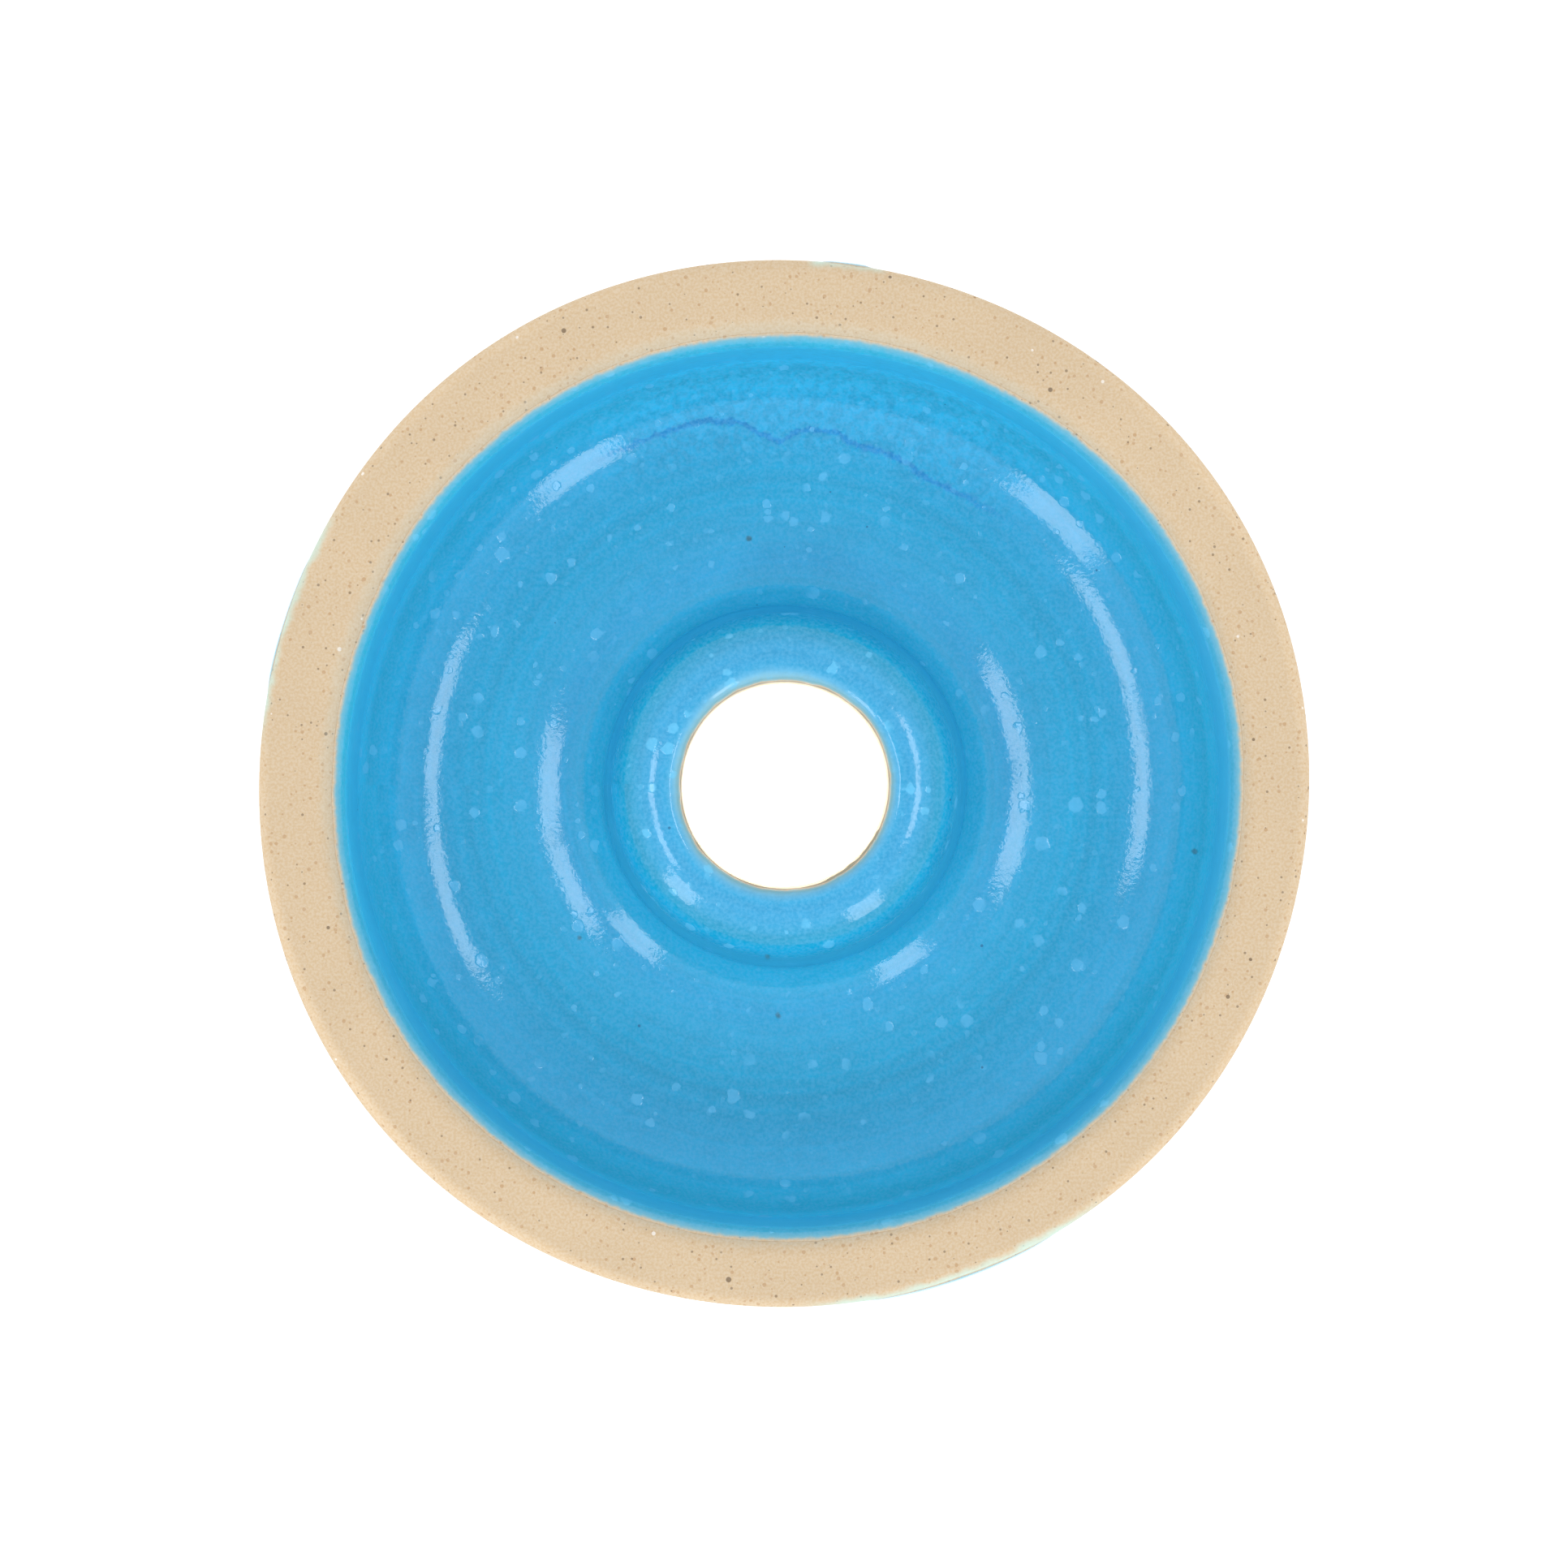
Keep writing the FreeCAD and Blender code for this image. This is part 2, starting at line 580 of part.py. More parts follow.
def make_outer_glaze():
    """Coat on the outside, from just below the rim, over the joint, to its line on the stem."""
    body = new_body("outer_glaze")
    outline = Outline(body, "outer_coat")
    top_level = RIM_LEVEL - size("outer_wipe")
    low_level = size("stem_height") - size("glaze_skirt")
    clay, clay_top, clay_low = outside_chain(outline, top_level, low_level)
    coat, coat_top, coat_low = outside_chain(outline, top_level, low_level, size("glaze_coat"))
    drive_outside(outline, clay)
    same_centres(outline, clay, coat)
    radius = "sizes.bowl_round + sizes.glaze_coat"
    outline.drive("Radius", coat[1][0], value=size("bowl_round") + size("glaze_coat"), by=radius)
    top_edge = outline.line(clay_top, coat_top)
    low_edge = outline.line(coat_low, clay_low)
    (wall, wall_first, _), (stem, _, stem_last) = clay[0], clay[-1]
    outline.fix("Coincident", top_edge[0], START, wall, wall_first)
    outline.join(top_edge, coat[0])
    outline.join(coat[-1], low_edge)
    outline.fix("Coincident", low_edge[0], END, stem, stem_last)
    outline.fix("Horizontal", top_edge[0])
    outline.fix("Horizontal", low_edge[0])
    outline.place(wall, wall_first, clay_top, y=f"{BY_RIM_LEVEL} - sizes.outer_wipe")
    outline.place(stem, stem_last, clay_low, y="sizes.stem_height - sizes.glaze_skirt")
    turned(body, outline.finish(), "outer_coat_ring")
    return body


# ---------------------------------------------------------------- checks and files

def check_cuts(body):
    """Stops the script if a pocket, groove or fillet left the solid as it was."""
    for before, after in zip(body.Group, body.Group[1:]):
        if after.TypeId in ("PartDesign::Groove", "PartDesign::Pocket", "PartDesign::Fillet"):
            base = after.BaseFeature
            if abs(base.Shape.Volume - after.Shape.Volume) < LIMIT:
                raise RuntimeError(f"{after.Name} changes nothing")


def write_parts(bodies):
    doc.recompute()
    for item in doc.Objects:
        if {"Invalid", "Error"} & set(item.State):
            raise RuntimeError(f"{item.Name} failed: {item.State}")
    for body in bodies:
        check_cuts(body)
        if body.Shape.isNull() or not body.Shape.isValid():
            raise RuntimeError(f"{body.Label} has no valid shape")
    os.makedirs("parts", exist_ok=True)
    for body in bodies:
        body.Shape.exportStep(f"parts/{body.Label}.step")
        print(f"{body.Label}: {body.Shape.Volume / 1000:.2f} cm3")


write_parts([make_head(), make_stem(), make_well_glaze(), make_outer_glaze()])
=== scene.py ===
# A water-pipe bowl of wheel-thrown stoneware with a sky-blue glaze: its looks.
#
# The pot is built as a potter makes it: the head is thrown, then the stem, then the glaze
# is poured into the well and round the outside. Half-sections are in millimetres from the
# axis and above the foot, and meshes are in metres.
import math
from bisect import bisect

import bpy
from mathutils import Matrix, Vector, noise


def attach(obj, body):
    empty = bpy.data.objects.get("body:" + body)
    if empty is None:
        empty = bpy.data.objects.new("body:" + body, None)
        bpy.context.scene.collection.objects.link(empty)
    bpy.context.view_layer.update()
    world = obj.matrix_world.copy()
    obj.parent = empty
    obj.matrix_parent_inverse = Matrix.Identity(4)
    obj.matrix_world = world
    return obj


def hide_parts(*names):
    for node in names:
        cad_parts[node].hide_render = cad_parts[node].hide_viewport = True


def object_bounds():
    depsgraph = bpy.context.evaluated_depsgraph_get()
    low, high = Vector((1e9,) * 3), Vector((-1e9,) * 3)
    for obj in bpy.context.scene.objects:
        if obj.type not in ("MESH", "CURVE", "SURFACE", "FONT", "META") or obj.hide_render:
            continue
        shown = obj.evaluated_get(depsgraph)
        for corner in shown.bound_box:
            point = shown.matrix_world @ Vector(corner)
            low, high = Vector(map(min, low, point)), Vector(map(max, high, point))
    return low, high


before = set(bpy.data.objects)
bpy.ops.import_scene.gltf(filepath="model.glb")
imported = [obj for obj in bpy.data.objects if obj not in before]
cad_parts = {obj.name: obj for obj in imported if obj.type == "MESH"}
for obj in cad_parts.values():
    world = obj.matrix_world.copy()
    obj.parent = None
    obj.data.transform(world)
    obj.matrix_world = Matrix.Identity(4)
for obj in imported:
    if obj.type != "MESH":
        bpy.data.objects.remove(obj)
cad_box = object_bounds()

# ---------------------------------------------------------------- thrown head, bare clay
# The head is one wall of sand-coloured stoneware: a hollow spire, a round-bottomed well
# and a flat rim with a soft inner edge. It is turned on the wheel, so every surface is a
# section swept round the axis, a little out of round and with the fingers' ridges left on.

MM = 0.001
RIM_RADIUS, RIM_LEVEL = 40.0, cad_box[1].z / MM
RIM_FLAT_END, RIM_OUTER_ROUND = 39.03, 0.9  # where the flat rim turns over into the outer wall
NECK_RADIUS, NECK_LEVEL = 16.5, 50.0
BORE_RADIUS, BORE_TOP, BORE_EDGE_ROUND = 7.9, 86.65, 1.15
CROWN_ROUND, SHOULDER_ROUND = 5.1, 2.8  # over the top of the spire
SPIRE_SIDE, SPIRE_FOOT_ROUND = 10.063, 2.15
FLOOR_BENDS = ((10.4, 15), (22.948, 26), (12.6, 15))  # radius and degrees, from the spire outwards
WALL_ROUND, WALL_SIDE, RIM_INNER_ROUND = 5.4, 9.936, 2.2
OUTER_SIDE, COVE_ROUND = 6.45, 18.27  # straight below the rim, hollow above the neck
BOWL_CENTRE, BOWL_ROUND = (22.27, 83.95), 17.2  # middle of the bowl's wall, its outer round


class Section:
    """A half-section drawn as a rib follows it, with the air always on its left."""

    def __init__(self, radius, level, heading):
        self.radius, self.level, self.heading = radius, level, heading
        self.points = []
        self.mark()

    def mark(self):
        """Notes the place and the direction that faces out of the clay."""
        out = math.radians(self.heading + 90)
        self.points.append((self.radius, self.level, math.cos(out), math.sin(out)))

    def run(self, length, step):
        """Goes straight on."""
        count = max(1, round(length / step))
        turn = math.radians(self.heading)
        for _ in range(count):
            self.radius += math.cos(turn) * length / count
            self.level += math.sin(turn) * length / count
            self.mark()
        return self

    def run_to(self, radius=None, level=None, step=1.0):
        """Goes straight on until it is at a radius or a level."""
        turn = math.radians(self.heading)
        if radius is None:
            return self.run((level - self.level) / math.sin(turn), step)
        return self.run((radius - self.radius) / math.cos(turn), step)

    def bend(self, round_radius, degrees, step):
        """Goes round a bend, to the left if degrees is above 0."""
        side = math.copysign(1, degrees)
        middle = math.radians(self.heading + 90 * side)
        centre_r = self.radius + math.cos(middle) * round_radius
        centre_z = self.level + math.sin(middle) * round_radius
        count = max(2, round(abs(math.radians(degrees)) * round_radius / step))
        for _ in range(count):
            self.heading += degrees / count
            back = math.radians(self.heading - 90 * side)
            self.radius = centre_r + math.cos(back) * round_radius
            self.level = centre_z + math.sin(back) * round_radius
            self.mark()
        return self

    def measured(self):
        """How far along the section each point is."""
        lengths = [0.0]
        for (r0, z0, *_), (r1, z1, *_) in zip(self.points, self.points[1:]):
            lengths.append(lengths[-1] + math.hypot(r1 - r0, z1 - z0))
        return lengths


def smooth(value, low, high):
    """0 below low, 1 above high and an even rise between. It falls if low is above high."""
    part = min(max((value - low) / (high - low), 0.0), 1.0)
    return part * part * (3 - 2 * part)


OUT_OF_ROUND = ((2, 0.09, 48), (3, 0.07, -11), (4, 0.14, 146))  # lobes, size in mm, degrees
WELL_SHIFT = (0.28, -0.28)  # the well was opened a little off the rim's centre
SPIRE_SHARE = 0.4  # share of that shift left at the spire
RIDGE_PITCH, RIDGE_HEIGHT, DRIFT_HEIGHT = 3.1, 0.045, 0.05  # the fingers' ridges, slow unevenness


def hand_made(radius, level, out_r, out_z, angle, lift=0.0):
    """Where a place on the true section comes out on the pot, in metres."""
    turn = math.radians(angle)
    from_wall = math.hypot(radius - BOWL_CENTRE[0], level - BOWL_CENTRE[1])
    # 1 on the well and the spire, 0 on the outside and in the stem
    in_well = smooth(from_wall, BOWL_ROUND - 0.2, BOWL_ROUND - 2.4) * smooth(level, 66, 74)
    spiral = math.sin(math.tau * (level / RIDGE_PITCH + angle / 360))
    drift = noise.noise(Vector((math.cos(turn), math.sin(turn), level * 0.11)) * 1.7)
    ridge = (RIDGE_HEIGHT * spiral + DRIFT_HEIGHT * drift) * (1 - in_well)
    lift += ridge * smooth(level, 89.2, 84) * smooth(level, 0.2, 5)  # rim and foot are wiped flat
    radius, level = radius + out_r * lift, level + out_z * lift
    for lobes, size, phase in OUT_OF_ROUND:
        radius += size * math.cos(lobes * turn - math.radians(phase)) * radius / RIM_RADIUS
    # the shift grows from the floor of the well to its wall
    share = in_well * (SPIRE_SHARE + (1 - SPIRE_SHARE) * smooth(radius, 26, 34))
    x = radius * math.cos(turn) + WELL_SHIFT[0] * share
    y = radius * math.sin(turn) + WELL_SHIFT[1] * share
    return Vector((x, y, level)) * MM


def ring_faces(columns, rows):
    """Quads between the columns of a turned mesh whose section is closed, outside faces out."""
    faces = []
    for turn in range(columns):
        this, following = turn * rows, (turn + 1) % columns * rows
        for row in range(rows):
            after = (row + 1) % rows
            faces.append((this + row, this + after, following + after, following + row))
    return faces


SHARP = math.radians(62)  # an edge that turns more than this isn't smoothed over


def turned_piece(name, columns, place_column):
    """A mesh from columns of points round the axis: place_column gives each one's points."""
    points, rows = [], 0
    for column in range(columns):
        placed = place_column(360 * column / columns)
        rows = len(placed)
        points += placed
    mesh = bpy.data.meshes.new(name)
    mesh.from_pydata(points, [], ring_faces(columns, rows))
    mesh.shade_smooth()
    mesh.set_sharp_from_angle(angle=SHARP)
    piece = bpy.data.objects.new(name, mesh)
    bpy.context.collection.objects.link(piece)
    return piece


def follow_well(section, step):
    """Over the bore's edge, down the spire, across the well and up onto the rim's soft edge."""
    fine = min(step, 0.3)
    section.bend(BORE_EDGE_ROUND, -90, 0.12).bend(CROWN_ROUND, -28, step)
    section.bend(SHOULDER_ROUND, -58, fine).run(SPIRE_SIDE, step).bend(SPIRE_FOOT_ROUND, 58, fine)
    for floor_round, turn in FLOOR_BENDS:
        section.bend(floor_round, turn, step)
    section.bend(WALL_ROUND, 60.2, step).run(WALL_SIDE, step)
    return section.bend(RIM_INNER_ROUND, -88.2, min(step, 0.2))


def follow_outside(section, step):
    """Over the rim's outer edge, down the wall, round the bowl and in to the neck."""
    section.bend(RIM_OUTER_ROUND, -94.5, 0.12).run(OUTER_SIDE, step)
    return section.bend(BOWL_ROUND, -64.89, step).bend(COVE_ROUND, 71.73, step)


def head_section():
    """The head from the joint up the bore, over the spire, the well and the rim, and down."""
    section = Section(BORE_RADIUS, NECK_LEVEL, 90)
    section.run_to(level=BORE_TOP, step=1.5)
    follow_well(section, 0.7).run_to(radius=RIM_FLAT_END, step=0.3)
    return follow_outside(section, 0.6)


BURR_FROM, BURR_TO, BURR_HEIGHT = 298, 336, 0.12  # a rough stretch of the bore's edge, degrees, mm
EDGE_ROUGHNESS = 0.03  # mm, all round the bore's edge


def place_head(section):
    """Gives a function for the head's column at an angle, with the bore's edge left rough."""

    def column(angle):
        placed = []
        burr = smooth(angle, BURR_FROM - 9, BURR_FROM) * smooth(angle, BURR_TO, BURR_TO - 3)
        for radius, level, out_r, out_z in section.points:
            rough = noise.noise(Vector((angle * 0.16, 3.1, level * 0.9)))
            at_edge = smooth(radius, 9.0, 8.15) * smooth(level, 84, 87.2)  # not over the crown
            radius -= at_edge * (burr * BURR_HEIGHT * (0.8 + 0.5 * rough) + EDGE_ROUGHNESS * rough)
            placed.append(hand_made(radius, level, out_r, out_z, angle))
        return placed

    return column


head_clay = turned_piece("bowl_head_clay", 360, place_head(head_section()))


class Value:
    """A number, a colour or a place in a finish. Sums on a number add Math nodes to it."""

    def __init__(self, finish, socket):
        self.finish, self.socket = finish, socket

    def __add__(self, other):
        return maths("ADD", self, other)

    def __sub__(self, other):
        return maths("SUBTRACT", self, other)

    def __rsub__(self, other):
        return maths("SUBTRACT", other, self)

    def __mul__(self, other):
        return maths("MULTIPLY", self, other)

    def __truediv__(self, other):
        return maths("DIVIDE", self, other)

    __radd__, __rmul__ = __add__, __mul__


def maths(operation, *values):
    """A Math node on values, at least one of which is in a finish."""
    finish = next(value.finish for value in values if isinstance(value, Value))
    return finish.node("ShaderNodeMath", {"operation": operation}, dict(enumerate(values)))


class Finish:
    """A material in the making: a Principled shader, and the nodes that feed it."""

    def __init__(self, name, constants):
        self.material = bpy.data.materials.new(name)
        self.material.use_nodes = True
        self.tree = self.material.node_tree
        self.shader = self.tree.nodes["Principled BSDF"]
        for socket, constant in constants.items():
            self.shader.inputs[socket].default_value = constant
        self.place = self.node("ShaderNodeTexCoord", output="Object")
        self.x, self.y, self.z = (
            self.node("ShaderNodeSeparateXYZ", inputs={0: self.place}, output=axis) / MM
            for axis in "XYZ"
        )
        self.from_axis = maths("SQRT", self.x * self.x + self.y * self.y)
        self.angle = maths("ARCTAN2", self.y, self.x) * (180 / math.pi)

    def node(self, kind, settings=None, inputs=None, output=0):
        """Adds a node: its settings first, then the values or links of its sockets."""
        node = self.tree.nodes.new(kind)
        for setting, value in (settings or {}).items():
            if setting == "stops":
                set_stops(node.color_ramp, value)
            else:
                setattr(node, setting, value)
        for socket, value in (inputs or {}).items():
            if isinstance(value, Value):
                self.tree.links.new(value.socket, node.inputs[socket])
            else:
                node.inputs[socket].default_value = value
        return Value(self, node.outputs[output])

    def feed(self, **sockets):
        """Links values to the shader's sockets, named with underscores for spaces."""
        for socket, value in sockets.items():
            self.tree.links.new(value.socket, self.shader.inputs[socket.replace("_", " ")])

    def cloud(self, size, detail=2.0, place=None):
        """Soft noise from 0 to 1, with patches of a size in millimetres."""
        inputs = {"Vector": place or self.place, "Scale": 1 / (size * MM), "Detail": detail}
        return self.node("ShaderNodeTexNoise", inputs=inputs)

    def flecks(self, spacing, share, size, place=None):
        """A mask of round flecks: one to a cell, in a share of the cells. Millimetres."""
        inputs = {"Vector": place or self.place, "Scale": 1 / (spacing * MM)}
        from_middle = self.node("ShaderNodeTexVoronoi", inputs=inputs)
        lots = Value(self, from_middle.socket.node.outputs["Color"])
        lot = self.node("ShaderNodeSeparateColor", inputs={0: lots})
        chosen = maths("LESS_THAN", lot, share)
        reach = (Value(self, lot.socket.node.outputs["Green"]) + 0.5) * (size / spacing / 2)
        inside = 1 - self.rise(from_middle / reach, 0.75, 1.0)
        return inside * chosen

    def rise(self, value, low, high):
        """0 below low, 1 above high and an even rise between."""
        inputs = {"Value": value, "From Min": low, "From Max": high}
        return self.node("ShaderNodeMapRange", {"interpolation_type": "SMOOTHSTEP"}, inputs)

    def between(self, value, low, high, fade):
        """1 between low and high, fading to 0 outside them."""
        return self.rise(value, low - fade, low) * (1 - self.rise(value, high, high + fade))

    def steep(self):
        """1 on upright walls, 0 where the surface faces up or down by 40 degrees or more."""
        normal = self.node("ShaderNodeNewGeometry", output="Normal")
        facing_up = self.node("ShaderNodeSeparateXYZ", inputs={0: normal}, output="Z")
        return 1 - self.rise(maths("ABSOLUTE", facing_up), 0.08, 0.64)

    def blend(self, mask, under, over):
        """One colour laid over another where a mask is 1."""
        inputs = {0: mask, 6: under, 7: over}  # factor and the two colours of the many-typed node
        return self.node("ShaderNodeMix", {"data_type": "RGBA"}, inputs, output=2)

    def shade(self, colour, strength):
        """A colour made lighter or darker."""
        inputs = {0: colour, "Scale": strength}
        return self.node("ShaderNodeVectorMath", {"operation": "SCALE"}, inputs)

    def ramp(self, value, stops):
        """A colour, or a grey for a number, from stops of (value from 0 to 1, colour)."""
        return self.node("ShaderNodeValToRGB", {"stops": stops}, {0: value})

    def relief(self, height):
        """Turns a height in millimetres into a bump."""
        inputs = {"Height": height, "Distance": MM, "Strength": 1.0}
        self.feed(Normal=self.node("ShaderNodeBump", inputs=inputs))


def set_stops(ramp, stops):
    """Fills a colour ramp, which starts with two stops."""
    while len(ramp.elements) < len(stops):
        ramp.elements.new(1.0)
    for element, (position, colour) in zip(ramp.elements, stops):
        element.position, element.color = position, colour


def dye(red, green, blue):
    """A colour from its 0 to 255 display values."""
    channels = (value / 255 for value in (red, green, blue))
    return (*(c / 12.92 if c <= 0.04045 else ((c + 0.055) / 1.055) ** 2.4 for c in channels), 1.0)


SAND, OCHRE, PALE_SAND = dye(194, 174, 146), dye(188, 159, 118), dye(204, 189, 166)
IRON, RUST, QUARTZ = dye(84, 66, 50), dye(160, 116, 70), dye(226, 223, 218)
CLAY_SPECKS = (  # spacing in mm, share of the cells, size in mm, strength and colour
    (0.5, 0.42, 0.24, 0.42, RUST),
    (0.58, 0.42, 0.17, 0.55, IRON),
    (2.5, 0.6, 0.34, 0.7, IRON),
    (1.7, 0.3, 0.26, 0.7, QUARTZ),
)


def clay_colour(finish):
    """Fired stoneware body: sand with ochre and pale grain, rust and iron specks, quartz."""
    grain = finish.rise(finish.cloud(0.2, 3.0), 0.34, 0.66)
    colour = finish.blend(grain, OCHRE, PALE_SAND)
    colour = finish.blend(0.6, colour, SAND)
    for spacing, share, size, strength, speck in CLAY_SPECKS:
        colour = finish.blend(finish.flecks(spacing, share, size) * strength, colour, speck)
    return finish.shade(colour, 0.92 + finish.cloud(7.0) * 0.1)


SMEARS = ((162, 9), (-70, 12), (83, 3))  # middle and half width of glaze rubbed on the rim, degrees
# the second of these colours is a grey for painted shade on the bore's rounded edge
SMEAR, BORE_EDGE_SHADE, HALO = dye(178, 208, 200), dye(146, 152, 142), dye(186, 190, 178)


def smear_mask(finish):
    """Thin glaze left on the outer edge of the rim by the wiping sponge."""
    spots = [finish.between(finish.angle, at - half, at + half, half * 0.6) for at, half in SMEARS]
    where = spots[0] + spots[1] + spots[2]
    reach = finish.rise(finish.from_axis + finish.cloud(1.6) * 0.9, 39.6, 40.3)
    return where * reach * finish.between(finish.z, 87.0, 91.0, 1.0)


def bare_clay():
    """Sand-coloured stoneware, dull and a little gritty, stained where the glaze stops, with
    painted shade on the bore's edge and a painted glow on the rim's outer edge.
    """
    finish = Finish("bare stoneware", {"Roughness": 0.85, "IOR": 1.45, "Specular IOR Level": 0.25})
    colour = finish.blend(smear_mask(finish) * 0.7, clay_colour(finish), SMEAR)
    # painted shade: the bore's rounded edge is greyed where it turns down into the bore
    bore_shade_mask = finish.between(finish.from_axis, 7.6, 8.4, 0.12)
    bore_shade_mask *= finish.between(finish.z, 84.5, 88.0, 1.2)
    colour = finish.blend(bore_shade_mask * 0.85, colour, BORE_EDGE_SHADE)
    on_rim = finish.rise(finish.z, 88.5, 89.4)
    halo = finish.between(finish.from_axis + finish.cloud(1.2), 34.5, 35.2, 0.8) * on_rim
    colour = finish.blend(halo * 0.22, colour, HALO)
    # painted glow: the rim's outer edge is made lighter, standing for light blooming over it
    rim_edge_bloom = finish.rise(finish.from_axis, 38.9, 40.0) * finish.rise(finish.z, 87.0, 89.0)
    finish.feed(Base_Color=finish.shade(colour, 1 + rim_edge_bloom * 0.2))
    finish.relief(finish.cloud(0.3, 3.0) * 0.02 + finish.cloud(1.4) * 0.02)
    return finish.material


CLAY = bare_clay()
head_clay.data.materials.append(CLAY)
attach(head_clay, "root")
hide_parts("bowl_head")

# ---------------------------------------------------------------- thrown stem, bare clay
# The stem is a thrown tube that flares a little to a turned foot ring. Inside is the
# socket for the pipe's grommet, with a flared mouth, which narrows at a shoulder to the
# bore. It is luted to the head at the neck, and that joint is smoothed over.

FOOT_RADIUS, FOOT_STEP, FOOT_HEIGHT, FOOT_ROUND = 19.4, 1.1, 6.0, 0.9
STEP_ROUND = 0.7  # in the corner above the foot ring
SOCKET_RADIUS, SOCKET_TOP = 11.25, 33.0
MOUTH_WIDER, MOUTH_HEIGHT, MOUTH_ROUND = 2.3, 8.0, 0.8  # the flared mouth and its lower edge
THROAT_ROUND, THROAT_TURN = 5.0, 18  # both bends at the shoulder between socket and bore
STEM_FLARE = FOOT_RADIUS - FOOT_STEP - NECK_RADIUS
STEM_LEAN = math.degrees(math.atan2(STEM_FLARE, NECK_LEVEL - FOOT_HEIGHT))


def stem_section():
    """The stem from the neck down to the foot, in under it and up the socket to the joint."""
    section = Section(NECK_RADIUS, NECK_LEVEL, STEM_LEAN - 90)
    section.run_to(level=FOOT_HEIGHT + STEP_ROUND, step=0.7).bend(STEP_ROUND, 90 - STEM_LEAN, 0.15)
    section.run_to(radius=FOOT_RADIUS - FOOT_ROUND, step=0.2).bend(FOOT_ROUND, -90, 0.15)
    section.run_to(level=FOOT_ROUND, step=0.6).bend(FOOT_ROUND, -90, 0.15)
    section.run_to(radius=SOCKET_RADIUS + MOUTH_WIDER, step=0.8).bend(MOUTH_ROUND, -79.4, 0.15)
    section.run_to(level=MOUTH_HEIGHT, step=0.8).bend(6.0, -10.6, 0.4)
    section.run_to(level=SOCKET_TOP, step=1.2).bend(THROAT_ROUND, THROAT_TURN, 0.4)
    bend_width = THROAT_ROUND * (1 - math.cos(math.radians(THROAT_TURN)))
    section.run_to(radius=BORE_RADIUS + bend_width, step=0.8)
    return section.bend(THROAT_ROUND, -THROAT_TURN, 0.4).run_to(level=NECK_LEVEL, step=1.5)


def place_stem(section):
    """Gives a function for the stem's column at an angle."""
    return lambda angle: [hand_made(*point, angle) for point in section.points]


stem_clay = turned_piece("stem_clay", 300, place_stem(stem_section()))
stem_clay.data.materials.append(CLAY)
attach(stem_clay, "root")
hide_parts("stem")

# ---------------------------------------------------------------- glaze in the well
# The glaze is a coat of blue glass, poured in and swilled round. It is thin and pale where
# it runs off the lip and the rim, dark where it pools round the spire, and it holds small
# bubbles, a few iron specks from the clay and a curdled seam where it ran over itself. Its
# colours also carry painted shade in the well's hollows and painted light on its slopes.

COAT = 0.35  # thickness of the glaze in mm
UNDER_CLAY = 0.12  # the coat's hidden side is this far inside the clay
EDGE_SUNK = 0.02  # and so far is its edge
CROWDING = 0.1  # how much closer the points lie at a coat's two edges than in its middle


class Coat:
    """A closed skin of glaze over a section, from one edge to the other at each angle."""

    def __init__(self, section, start, end, thickness, rows, back_rows):
        self.points, self.lengths = section.points, section.measured()
        self.start, self.end, self.thickness = start, end, thickness
        self.rows, self.back_rows = rows, back_rows
        self.depths = []

    def at(self, distance):
        """The clay's surface at a distance along the section."""
        index = min(bisect(self.lengths, distance), len(self.lengths) - 1) - 1
        span = self.lengths[index + 1] - self.lengths[index]
        part = (distance - self.lengths[index]) / span
        return [a + (b - a) * part for a, b in zip(self.points[index], self.points[index + 1])]

    def column(self, angle):
        """Points over the coat's front and back under it, noting how far from an edge each is."""
        first, last = self.start(angle), self.end(angle)
        placed = []
        for rows, front in ((self.rows, True), (self.back_rows, False)):
            for row in range(rows):
                part = row / (rows - 1) if front else (rows - row) / (rows + 1)
                part -= CROWDING * math.sin(math.tau * part)
                distance = first + (last - first) * part
                depth, lift = 0.0, -UNDER_CLAY
                if front:
                    depth = min(distance - first, last - distance)
                    lift = self.thickness(distance - first, last - distance, angle)
                placed.append(hand_made(*self.at(distance), angle, lift=lift))
                self.depths.append(depth)
        return placed

    def piece(self, name, columns):
        """The coat's mesh, with the distance from its edge in mm as edge_depth."""
        piece = turned_piece(name, columns, self.column)
        depth = piece.data.attributes.new("edge_depth", "FLOAT", "POINT")
        depth.data.foreach_set("value", self.depths)
        return piece


def wander(angle, size, lobes, seed):
    """A line's even wander round the pot, in mm."""
    turn = math.radians(angle)
    return size * noise.noise(Vector((math.cos(turn) * lobes, math.sin(turn) * lobes, seed)))


WELL = follow_well(Section(BORE_RADIUS, BORE_TOP, 90), 0.4)
LIP_EDGE = 0.55  # the glaze starts this far along the round of the bore's edge
RIM_EDGE = WELL.measured()[-1] - 1.56  # and stops on the slope of the rim's soft edge


def sunk(from_edge):
    """How far the clay's surface hides a coat that near its edge."""
    return EDGE_SUNK * (1 - smooth(from_edge, 0, 0.1))


def well_thickness(from_lip, from_rim, angle):
    """The well's coat thins to both edges, alike at every angle."""
    film = smooth(from_lip, -0.4, 1.0) * smooth(from_rim, -0.35, 1.3)
    return COAT * film - sunk(min(from_lip, from_rim))


well_coat = Coat(
    WELL,
    start=lambda angle: LIP_EDGE + wander(angle, 0.12, 6, 2.0),
    end=lambda angle: RIM_EDGE + wander(angle, 0.14, 3, 5.0) + wander(angle, 0.09, 22, 8.0),
    thickness=well_thickness,
    rows=112,
    back_rows=24,
)
well_glaze = well_coat.piece("well_glaze_coat", 640)
